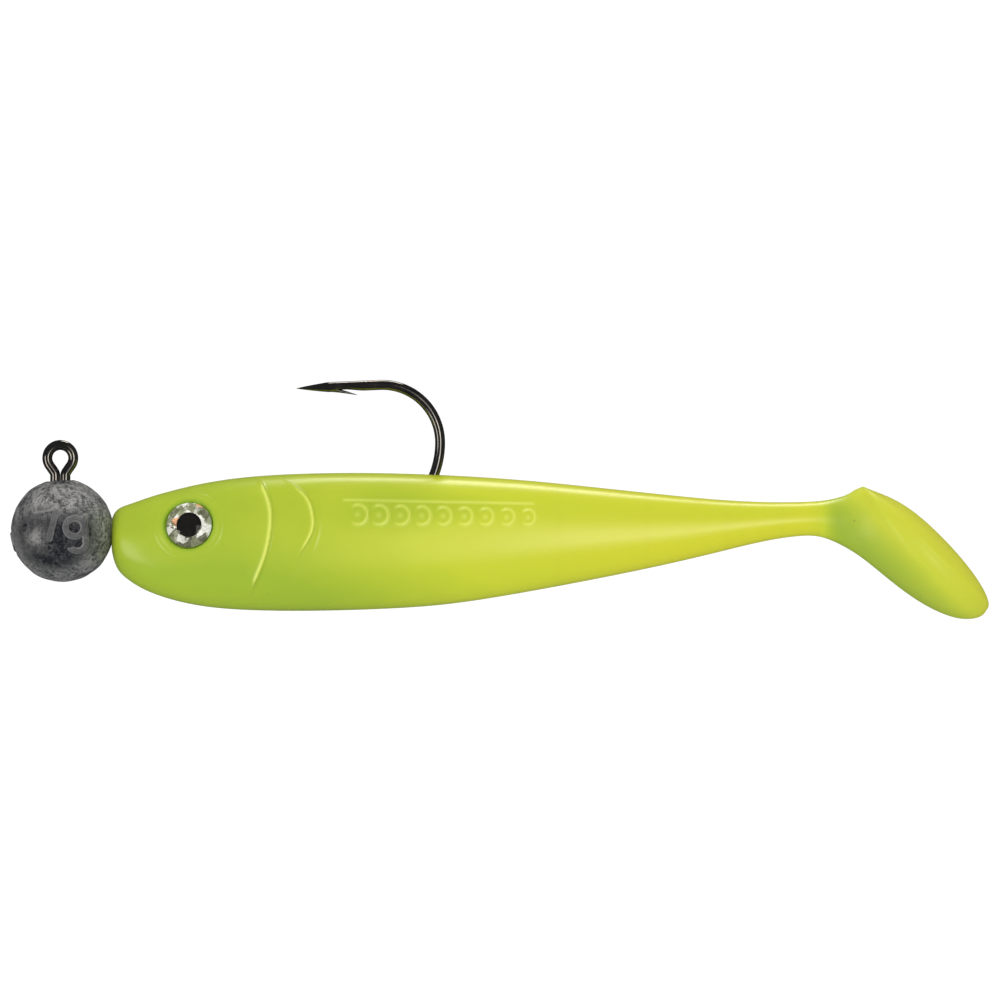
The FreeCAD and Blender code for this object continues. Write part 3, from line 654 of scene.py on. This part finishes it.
# %% Turn a profile about the eye's axis
def turned(name, profile, side, out, crumple=0.0, columns=120):
    """A closed piece of (radius, height) points turned about the eye's axis, side -1 or +1 of the head.

    Each point is centre + radius * (cos(turn) * first - sin(turn) * second) + height * axis.
    """
    mirror = np.array([1, side, 1])
    axis, centre = EYE_AXIS * mirror, EYE * mirror + EYE_AXIS * mirror * out
    first = np.cross((0, 0, 1), axis)
    first /= np.linalg.norm(first)
    second = np.cross(axis, first)
    profile = np.array(profile)
    turn = np.linspace(0, 2 * math.pi, columns, endpoint=False)
    ring = np.cos(turn)[:, None] * first - np.sin(turn)[:, None] * second
    flat = centre + profile[:, 0, None, None] * ring
    height = np.broadcast_to(profile[:, 1, None], flat.shape[:2])
    if crumple:
        folds = 1 - np.minimum(np.abs(lumps(flat, 0.9, 24, 11 if side < 0 else 12)), 1)
        shown = (profile[:, 1, None] > 0.1) * ramp(profile[:, 0, None], 1.22, 1.5)
        height = height + crumple * folds * shown
    points = flat + height[..., None] * axis
    low, high = centre + profile[0, 1] * axis, points[-1].mean(axis=0)
    return tube(name, points, low, high)


def make_eye(word, side):
    """The three layers of one eye, from the socket's floor outwards."""
    rings = np.linspace(2.34, 0.03, 60)
    film = [(0.03, 0.0), (2.3, 0.0), (2.35, 0.03), (2.35, 0.1)] + [(r, 0.13) for r in rings]
    pupil = [(0.03, 0.0), (1.17, 0.0), (1.22, 0.01), (1.22, 0.03), (1.17, 0.045), (0.6, 0.05), (0.03, 0.05)]
    across = 2.36 * np.cos(np.radians(np.linspace(0, 89.3, 50)))
    dome = [(0.03, -0.1), (2.33, -0.1), (2.36, -0.07), (2.37, 0.12)]
    dome += [(r, 0.16 + 0.74 * (1 - (r / 2.36) ** 2.2)) for r in across]
    return {
        "foil": turned(word + "_eye_film", film, side, 0.0, crumple=0.09),
        "pupil": turned(word + "_eye_pupil_print", pupil, side, 0.17),
        "lens": turned(word + "_eye_dome", dome, side, 0.17),
    }


eyes = {"left": make_eye("left", -1), "right": make_eye("right", 1)}

# %% [markdown]
# ## Who moves with whom
# Each skin lies across one joint and stands for the plain CAD length of the same place, which is hidden. The
# lead, the hook and the eyes ride on the jig, which is the body that the line holds.

# %% Put the skins in place of the CAD lengths and let the rest ride
STANDS_FOR = {
    "bait_front_skin": ["bait_head"],
    "bait_trunk_skin": ["bait_trunk"],
    "bait_waist_skin": ["bait_waist"],
    "bait_wrist_skin": ["bait_wrist"],
    "tail_stem_skin": ["tail_stem_front", "tail_stem_rear"],
    "tail_paddle_skin": ["tail_paddle"],
}
for name, _, _, front, rear, bend_start, bend_end, _ in SKINS:
    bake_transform(skins[name])
    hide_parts(*STANDS_FOR[name])

for piece, slot in ((lead, "lead"), (hook, "hook_wire"), (barb, "hook_wire")):
    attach(piece, "jig")
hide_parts("lead_head")
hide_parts("jig_hook")
for word, layers in eyes.items():
    for layer, piece in layers.items():
        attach(piece, "jig")
        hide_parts(f"{word}_eye_{layer}")

# %% [markdown]
# ## Finishes
# A finish is a network of small nodes that works out colour, roughness and tiny bumps at each place. The
# helpers below add a node and join two nodes. Two effects serve several finishes, so each is a node
# group: fine grain for bumps and wear, and specks for dust and pores.

# %% Node helpers
def set_inputs(node, **inputs):
    """Sets inputs of a node. A name with underscores stands for the same words with spaces."""
    for name, value in inputs.items():
        node.inputs[name.replace("_", " ")].default_value = value


def add(tree, kind, **inputs):
    """A node with some of its inputs set."""
    node = tree.nodes.new(kind)
    set_inputs(node, **inputs)
    return node


def join(tree, source, output, target, name):
    """Links an output of one node to an input of another."""
    tree.links.new(source.outputs[output], target.inputs[name])


def calculate(tree, operation, *values):
    """A Math node. Each value is a number or a (node, output) pair. MULTIPLY_ADD takes three."""
    node = tree.nodes.new("ShaderNodeMath")
    node.operation = operation
    for place, value in enumerate(values):
        if isinstance(value, tuple):
            tree.links.new(value[0].outputs[value[1]], node.inputs[place])
        else:
            node.inputs[place].default_value = value
    return node


def blend_colours(tree, factor, first, second, mode="MIX"):
    """A colour Mix node. Factor and colours are numbers, colours or (node, output) pairs."""
    node = tree.nodes.new("ShaderNodeMix")
    node.data_type, node.blend_type = "RGBA", mode
    for place, value in ((0, factor), (6, first), (7, second)):
        if isinstance(value[0] if isinstance(value, tuple) else value, bpy.types.Node):
            tree.links.new(value[0].outputs[value[1]], node.inputs[place])
        else:
            node.inputs[place].default_value = value
    return node


def ramp_node(tree, source, output, stops):
    """A Color Ramp with (position, colour) stops."""
    node = tree.nodes.new("ShaderNodeValToRGB")
    while len(node.color_ramp.elements) < len(stops):
        node.color_ramp.elements.new(0.5)
    for element, (position, colour) in zip(node.color_ramp.elements, stops):
        element.position, element.color = position, (*colour, 1)
    join(tree, source, output, node, "Fac")
    return node


def finish(name):
    """A new material, its tree and its Principled shader."""
    material = bpy.data.materials.new(name)
    material.use_nodes = True
    tree = material.node_tree
    shader = tree.nodes["Principled BSDF"]
    return material, tree, shader


def bump(tree, shader, source, output, strength, distance):
    """Tiny relief for the shine, from a height that varies over the surface."""
    node = add(tree, "ShaderNodeBump", Strength=strength, Distance=distance)
    join(tree, source, output, node, "Height")
    join(tree, node, "Normal", shader, "Normal")


def place_in_mm(tree):
    """Each point's place on its own piece, in millimetres."""
    scaled = add(tree, "ShaderNodeMapping", Scale=(1000, 1000, 1000))
    join(tree, tree.nodes.new("ShaderNodeTexCoord"), "Object", scaled, "Vector")
    return scaled


# %% Shared effects: grain and specks
def new_group(name, numbers, outputs):
    """An empty shader group that takes a place and some numbers, and gives numbers back."""
    group = bpy.data.node_groups.new(name, "ShaderNodeTree")
    group.interface.new_socket("Vector", in_out="INPUT", socket_type="NodeSocketVector")
    for title, value in numbers:
        socket = group.interface.new_socket(title, in_out="INPUT", socket_type="NodeSocketFloat")
        socket.default_value = value
    for title in outputs:
        group.interface.new_socket(title, in_out="OUTPUT", socket_type="NodeSocketFloat")
    return group, group.nodes.new("NodeGroupInput"), group.nodes.new("NodeGroupOutput")


def make_grain():
    """Two sizes of noise, mixed: broad clouds and, eight times finer, grain."""
    group, start, end = new_group("grain", [("Scale", 1.0), ("Fine Share", 0.5)], ["Clouds", "Height"])
    broad = add(group, "ShaderNodeTexNoise", Detail=3.0, Roughness=0.6)
    fine = add(group, "ShaderNodeTexNoise", Detail=4.0, Roughness=0.65)
    finer = calculate(group, "MULTIPLY", (start, "Scale"), 8.0)
    for node in (broad, fine):
        join(group, start, "Vector", node, "Vector")
    join(group, start, "Scale", broad, "Scale")
    join(group, finer, 0, fine, "Scale")
    mix = group.nodes.new("ShaderNodeMix")
    join(group, start, "Fine Share", mix, 0)
    join(group, broad, "Fac", mix, 2)
    join(group, fine, "Fac", mix, 3)
    join(group, broad, "Fac", end, "Clouds")
    join(group, mix, 0, end, "Height")
    return group


def make_specks():
    """Small round spots: near the middles of Voronoi cells, kept only where a slow noise is high."""
    group, start, end = new_group("specks", [("Scale", 1.0), ("Size", 0.1)], ["Mask"])
    cells = add(group, "ShaderNodeTexVoronoi")
    slow = add(group, "ShaderNodeTexNoise", Detail=1.0)
    slower = calculate(group, "MULTIPLY", (start, "Scale"), 0.7)
    for node in (cells, slow):
        join(group, start, "Vector", node, "Vector")
    join(group, start, "Scale", cells, "Scale")
    join(group, slower, 0, slow, "Scale")
    near = calculate(group, "LESS_THAN", (cells, "Distance"), (start, "Size"))
    kept = calculate(group, "GREATER_THAN", (slow, "Fac"), 0.6)
    both = calculate(group, "MULTIPLY", (near, 0), (kept, 0))
    join(group, both, 0, end, "Mask")
    return group


GRAIN, SPECKS = make_grain(), make_specks()


def use(tree, group, source, output, **inputs):
    """A shared effect placed in a finish, fed with a place and its own values."""
    node = tree.nodes.new("ShaderNodeGroup")
    node.node_tree = group
    join(tree, source, output, node, "Vector")
    set_inputs(node, **inputs)
    return node


def attribute(tree, name):
    """Reads an attribute stored on the piece's points."""
    node = tree.nodes.new("ShaderNodeAttribute")
    node.attribute_name = name
    return node


# %% [markdown]
# ### Soft plastic
# Soft plastic is tinted all through and has an oily shine. Its colour comes from the yellow mask, which
# carries painted light and shade, with faint clouds. The painted eye shade darkens the moulding around the
# eyes, and the painted lip highlight makes thin raised edges paler. A few dark specks are dust and pigment
# caught in the pour.
# The shine is broad, with a thin sharper coat of oil over it, and the paddle is the most matt. Light travels
# a little way under the surface, which softens its edges.

# %% Soft plastic
def soft_plastic():
    """Chartreuse plastic, painted leaf green on the head and yellow towards the thin rear, with painted shade
    and highlights.
    """
    material, tree, shader = finish("soft_chartreuse_plastic")
    place = attribute(tree, "rest_place")
    grain = use(tree, GRAIN, place, "Vector", Scale=0.22, Fine_Share=0.2)
    specks = use(tree, SPECKS, place, "Vector", Scale=0.62, Size=0.055)
    yellow = attribute(tree, "yellow")
    drift = calculate(tree, "MULTIPLY_ADD", (grain, "Clouds"), 0.16, -0.08)
    tone = calculate(tree, "ADD", (yellow, "Fac"), (drift, 0))
    # Painted light and shade: the yellow mask picks shaded leaf green or lit yellow.
    colour = ramp_node(tree, tone, 0, [
        (0.0, (0.28, 0.4, 0.022)),
        (0.45, (0.47, 0.53, 0.022)),
        (1.0, (0.53, 0.54, 0.02)),
    ])
    # Painted shade: dark green in the ring around each eye.
    painted_eye_shade = calculate(tree, "MULTIPLY", (attribute(tree, "painted_eye_shade"), "Fac"), 0.55)
    eye_shaded = blend_colours(tree, (painted_eye_shade, 0), (colour, "Color"), (0.1, 0.27, 0.01, 1))
    # Painted highlight: pale yellow on the lips of raised edges.
    thin = calculate(tree, "MULTIPLY", (attribute(tree, "painted_lip_highlight"), "Fac"), 0.47)
    lipped = blend_colours(tree, (thin, 0), (eye_shaded, 2), (0.82, 0.86, 0.2, 1))
    dark = calculate(tree, "MULTIPLY", (specks, "Mask"), 0.6)
    speckled = blend_colours(tree, (dark, 0), (lipped, 2), (0.13, 0.16, 0.02, 1))
    join(tree, speckled, 2, shader, "Base Color")
    rough = calculate(tree, "MULTIPLY_ADD", (grain, "Height"), 0.05, 0.275)
    rougher = calculate(tree, "MULTIPLY_ADD", (attribute(tree, "matt"), "Fac"), 0.2, (rough, 0))
    join(tree, rougher, 0, shader, "Roughness")
    set_inputs(shader, IOR=1.45, Coat_Weight=0.12, Coat_Roughness=0.16, Subsurface_Weight=0.25)
    set_inputs(shader, Subsurface_Radius=(1.0, 0.9, 0.2), Subsurface_Scale=0.0006)
    bump(tree, shader, grain, "Height", 0.25, 0.00006)
    return material


# %% [markdown]
# ### Lead
# Fresh lead is bright, but it soon grows a dull blue-grey skin. The skin stays dark in low places and is
# rubbed pale on raised ones, so the mark's strokes are lighter than what surrounds them. Bright grains
# show where the casting cooled quickly. Light and shade are painted on the ball too: painted shade darkens
# its lower half in patches and fades towards the ball's outline as seen side on, where it is painted lighter,
# and a spot at the lower left of the seven stays bright as a painted highlight.

# %% Lead
def cast_lead():
    """Dull cast lead: dark clouds, painted shade and a painted highlight on the ball, pale worn relief, and
    grains of different shine.
    """
    material, tree, shader = finish("bare_cast_lead")
    scaled = place_in_mm(tree)
    clouds = use(tree, GRAIN, scaled, "Vector", Scale=0.42, Fine_Share=0.55)
    fine = use(tree, GRAIN, scaled, "Vector", Scale=1.6, Fine_Share=0.6)
    mixed = calculate(tree, "MULTIPLY_ADD", (fine, "Height"), 0.75, (clouds, "Height"))
    patina = ramp_node(tree, mixed, 0, [
        (0.75, (0.06, 0.065, 0.075)),
        (0.86, (0.23, 0.235, 0.24)),
        (0.96, (0.5, 0.5, 0.5)),
    ])
    # Painted shade: the painted ball shade, broken into cloudy patches, darkens the lead to blue-black.
    patches = calculate(tree, "MULTIPLY_ADD", (clouds, "Height"), 5.0, -1.6)
    shade_amount = calculate(tree, "MULTIPLY", (attribute(tree, "painted_ball_shade"), "Fac"), (patches, 0))
    shade_amount.use_clamp = True
    dull = blend_colours(tree, (shade_amount, 0), (patina, "Color"), (0.018, 0.021, 0.03, 1))
    stroke = ramp_node(tree, attribute(tree, "mark"), "Fac", [
        (0.1, (0, 0, 0)),
        (0.45, (0.9, 0.9, 0.9)),
        (0.95, (0.3, 0.3, 0.3)),
    ])
    worn = blend_colours(tree, (stroke, "Color"), (dull, 2), (0.42, 0.42, 0.43, 1))
    gate = calculate(tree, "MULTIPLY", (attribute(tree, "gate"), "Fac"), 0.85)
    snipped = blend_colours(tree, (gate, 0), (worn, 2), (0.05, 0.055, 0.07, 1))
    join(tree, snipped, 2, shader, "Base Color")
    rough = calculate(tree, "MULTIPLY_ADD", (fine, "Height"), 0.4, 0.2)
    join(tree, rough, 0, shader, "Roughness")
    set_inputs(shader, Metallic=0.6)
    bump(tree, shader, mixed, 0, 0.9, 0.00022)
    return material


# %% [markdown]
# ### Black nickel
# The hook is plated with black nickel, a dark mirror. It is nearly black face on and flashes white along
# the wire. Drawing the wire leaves faint streaks, and handling leaves its shine a little uneven.

# %% Black nickel
def black_nickel():
    """A dark, polished plating with uneven shine."""
    material, tree, shader = finish("black_nickel_plating")
    scaled = place_in_mm(tree)
    grain = use(tree, GRAIN, scaled, "Vector", Scale=0.7, Fine_Share=0.5)
    tint = ramp_node(tree, grain, "Clouds", [
        (0.3, (0.1, 0.103, 0.108)),
        (0.6, (0.18, 0.168, 0.16)),
        (0.8, (0.26, 0.22, 0.19)),
    ])
    join(tree, tint, "Color", shader, "Base Color")
    rough = calculate(tree, "MULTIPLY_ADD", (grain, "Height"), 0.14, 0.06)
    join(tree, rough, 0, shader, "Roughness")
    set_inputs(shader, Metallic=1.0)
    bump(tree, shader, grain, "Height", 0.15, 0.00003)
    return material


# %% [markdown]
# ### The three layers of an eye
# The film is silver, and its crumples show patches of white, olive and a little orange, painted on as
# reflections:
# each facet's tint stands for what it would mirror. The pupil is flat black ink. The dome is clear resin:
# light passes through it and bends, which makes the pupil look closer.
# Rays that carry light to the film go straight through the dome, or the film would stay dark under it.

# %% Foil, pupil and dome
def crumpled_foil():
    """Silver film in flat facets, each with its own shine and a tint that is a painted reflection."""
    material, tree, shader = finish("crumpled_foil")
    scaled = place_in_mm(tree)
    grain = use(tree, GRAIN, scaled, "Vector", Scale=1.2, Fine_Share=0.4)
    bent = tree.nodes.new("ShaderNodeVectorMath")
    join(tree, scaled, "Vector", bent, 0)
    join(tree, grain, "Height", bent, 1)
    cells = add(tree, "ShaderNodeTexVoronoi", Scale=1.3, Randomness=1.0)
    join(tree, bent, "Vector", cells, "Vector")
    single = tree.nodes.new("ShaderNodeSeparateColor")
    join(tree, cells, "Color", single, "Color")
    # Painted reflections: dark olive, grey and white facets and a few orange flecks, as crumpled silver would
    # mirror them.
    tint = ramp_node(tree, single, "Red", [
        (0.0, (0.05, 0.055, 0.015)),
        (0.3, (0.22, 0.24, 0.13)),
        (0.42, (0.5, 0.51, 0.42)),
        (0.5, (0.97, 0.97, 0.95)),
        (0.94, (0.97, 0.97, 0.95)),
        (0.96, (0.85, 0.4, 0.2)),
    ])
    haze = calculate(tree, "MULTIPLY", (grain, "Clouds"), 0.3)
    clouded = blend_colours(tree, (haze, 0), (tint, "Color"), (0.62, 0.64, 0.52, 1))
    join(tree, clouded, 2, shader, "Base Color")
    rough = calculate(tree, "MULTIPLY_ADD", (single, "Green"), 0.25, 0.18)
    join(tree, rough, 0, shader, "Roughness")
    set_inputs(shader, Metallic=0.4)
    height = calculate(tree, "ADD", (single, "Blue"), (grain, "Height"))
    bump(tree, shader, height, 0, 0.6, 0.00008)
    return material


def pupil_ink():
    """Black ink with a soft, slightly uneven gloss."""
    material, tree, shader = finish("black_pupil_ink")
    scaled = place_in_mm(tree)
    grain = use(tree, GRAIN, scaled, "Vector", Scale=2.0, Fine_Share=0.5)
    tint = ramp_node(tree, grain, "Clouds", [
        (0.3, (0.002, 0.002, 0.002)),
        (0.8, (0.007, 0.006, 0.005)),
    ])
    join(tree, tint, "Color", shader, "Base Color")
    rough = calculate(tree, "MULTIPLY_ADD", (grain, "Height"), 0.2, 0.55)
    join(tree, rough, 0, shader, "Roughness")
    set_inputs(shader, Specular_IOR_Level=0.1)
    return material


def clear_resin():
    """Clear resin with a very slightly wavy surface."""
    material, tree, shader = finish("clear_dome_resin")
    scaled = place_in_mm(tree)
    grain = use(tree, GRAIN, scaled, "Vector", Scale=0.5, Fine_Share=0.1)
    set_inputs(shader, Base_Color=(0.97, 0.99, 0.96, 1), Transmission_Weight=1.0, IOR=1.49)
    rough = calculate(tree, "MULTIPLY", (grain, "Height"), 0.05)
    join(tree, rough, 0, shader, "Roughness")
    bump(tree, shader, grain, "Height", 0.1, 0.00005)
    rays = tree.nodes.new("ShaderNodeLightPath")
    lighting = calculate(tree, "MAXIMUM", (rays, "Is Shadow Ray"), (rays, "Is Diffuse Ray"))
    through = tree.nodes.new("ShaderNodeBsdfTransparent")
    either = tree.nodes.new("ShaderNodeMixShader")
    tree.links.new(lighting.outputs[0], either.inputs[0])
    tree.links.new(shader.outputs[0], either.inputs[1])
    tree.links.new(through.outputs[0], either.inputs[2])
    join(tree, either, 0, tree.nodes["Material Output"], "Surface")
    return material


FINISHES = {
    "soft_plastic": soft_plastic(),
    "lead": cast_lead(),
    "hook_wire": black_nickel(),
    "eye_foil": crumpled_foil(),
    "eye_pupil": pupil_ink(),
    "eye_lens": clear_resin(),
}

# %% Give every piece its finish
for piece in skins.values():
    piece.data.materials.append(FINISHES["soft_plastic"])
lead.data.materials.append(FINISHES["lead"])
hook.data.materials.append(FINISHES["hook_wire"])
barb.data.materials.append(FINISHES["hook_wire"])
for layers in eyes.values():
    for layer, piece in layers.items():
        piece.data.materials.append(FINISHES["eye_" + layer])
print("finishes:", len(FINISHES))

# %% [markdown]
# ## Floor, light and camera
# The lure hangs over a plain white table, as in a catalogue. White surroundings light it evenly from all
# sides, but its shiny places see them as dark, so only the lamps draw highlights. One lamp above and a little
# behind draws the bright line along the back. Two to the right of the camera light the flank where it turns
# towards the tail: a small one for the middle of the highlight and a large one for its edges. One at the
# left lights the ball and the nose. The camera looks square on, through a very long lens from almost a
# metre away, so there is hardly any perspective.

# %% Floor and surroundings
FLOOR = -0.16


def make_floor():
    """A wide white table top. It glows so that shadows stay pale, but throws no light on the lure."""
    half = 0.6
    corners = [(-half, -half, FLOOR), (half, -half, FLOOR), (half, half, FLOOR), (-half, half, FLOOR)]
    mesh = bpy.data.meshes.new("table_top")
    mesh.from_pydata(corners, [], [(0, 1, 2, 3)])
    floor = bpy.data.objects.new("table_top", mesh)
    bpy.context.collection.objects.link(floor)
    material, tree, shader = finish("white_table")
    set_inputs(shader, Base_Color=(0.9, 0.9, 0.9, 1), Roughness=0.8, Specular_IOR_Level=0.1)
    set_inputs(shader, Emission_Color=(1, 1, 1, 1), Emission_Strength=0.6)
    mesh.materials.append(material)
    floor.visible_diffuse, floor.visible_glossy = False, False


make_floor()
world = bpy.data.worlds.new("studio")
world.use_nodes = True
bpy.context.scene.world = world
background = world.node_tree.nodes["Background"]
set_inputs(background, Color=(1, 1, 1, 1))
seen = world.node_tree.nodes.new("ShaderNodeLightPath")
mirrored = calculate(world.node_tree, "MULTIPLY_ADD", (seen, "Is Glossy Ray"), -0.95, 1.05)
strength = calculate(world.node_tree, "MAXIMUM", (seen, "Is Camera Ray"), (mirrored, 0))
join(world.node_tree, strength, 0, background, "Strength")

# %% Lights
WARM = (1.0, 0.95, 0.84)


def soft_light(name, place, aim, width, height, power):
    """A rectangular lamp at a place, turned to face a point. Power is in watts."""
    lamp = bpy.data.lights.new(name, "AREA")
    lamp.shape, lamp.size, lamp.size_y, lamp.energy = "RECTANGLE", width, height, power
    lamp.color = WARM
    holder = bpy.data.objects.new(name, lamp)
    holder.location = place
    holder.rotation_euler = (Vector(aim) - Vector(place)).to_track_quat("-Z", "Y").to_euler()
    bpy.context.collection.objects.link(holder)


soft_light("back_line_light", (0.055, 0.09, 0.23), (0.055, 0, -0.004), 0.1, 0.085, 0.2)
soft_light("flank_light", (0.16, -0.42, 0.0), (0.06, 0, -0.008), 0.1, 0.13, 0.18)
soft_light("flank_fill_light", (0.165, -0.43, 0.0), (0.06, 0, -0.008), 0.18, 0.34, 0.26)
soft_light("nose_light", (-0.2, -0.19, -0.055), (0.005, 0, -0.01), 0.1, 0.17, 0.19)

# %% Camera
camera_data = bpy.data.cameras.new("catalogue_camera")
camera_data.lens, camera_data.sensor_width = 300, 36
camera_data.clip_start, camera_data.clip_end = 0.01, 10
camera = bpy.data.objects.new("catalogue_camera", camera_data)
WIDTH_SEEN = 0.104
distance = WIDTH_SEEN * camera_data.lens / camera_data.sensor_width
MIDDLE_X, MIDDLE_Z = 0.04573, -0.00437
camera.location = (MIDDLE_X, -distance, MIDDLE_Z)
camera.rotation_euler = (math.pi / 2, 0, 0)
bpy.context.collection.objects.link(camera)
bpy.context.scene.camera = camera
bpy.context.scene.view_settings.view_transform = "Standard"
print("camera distance:", round(distance, 3), "m")
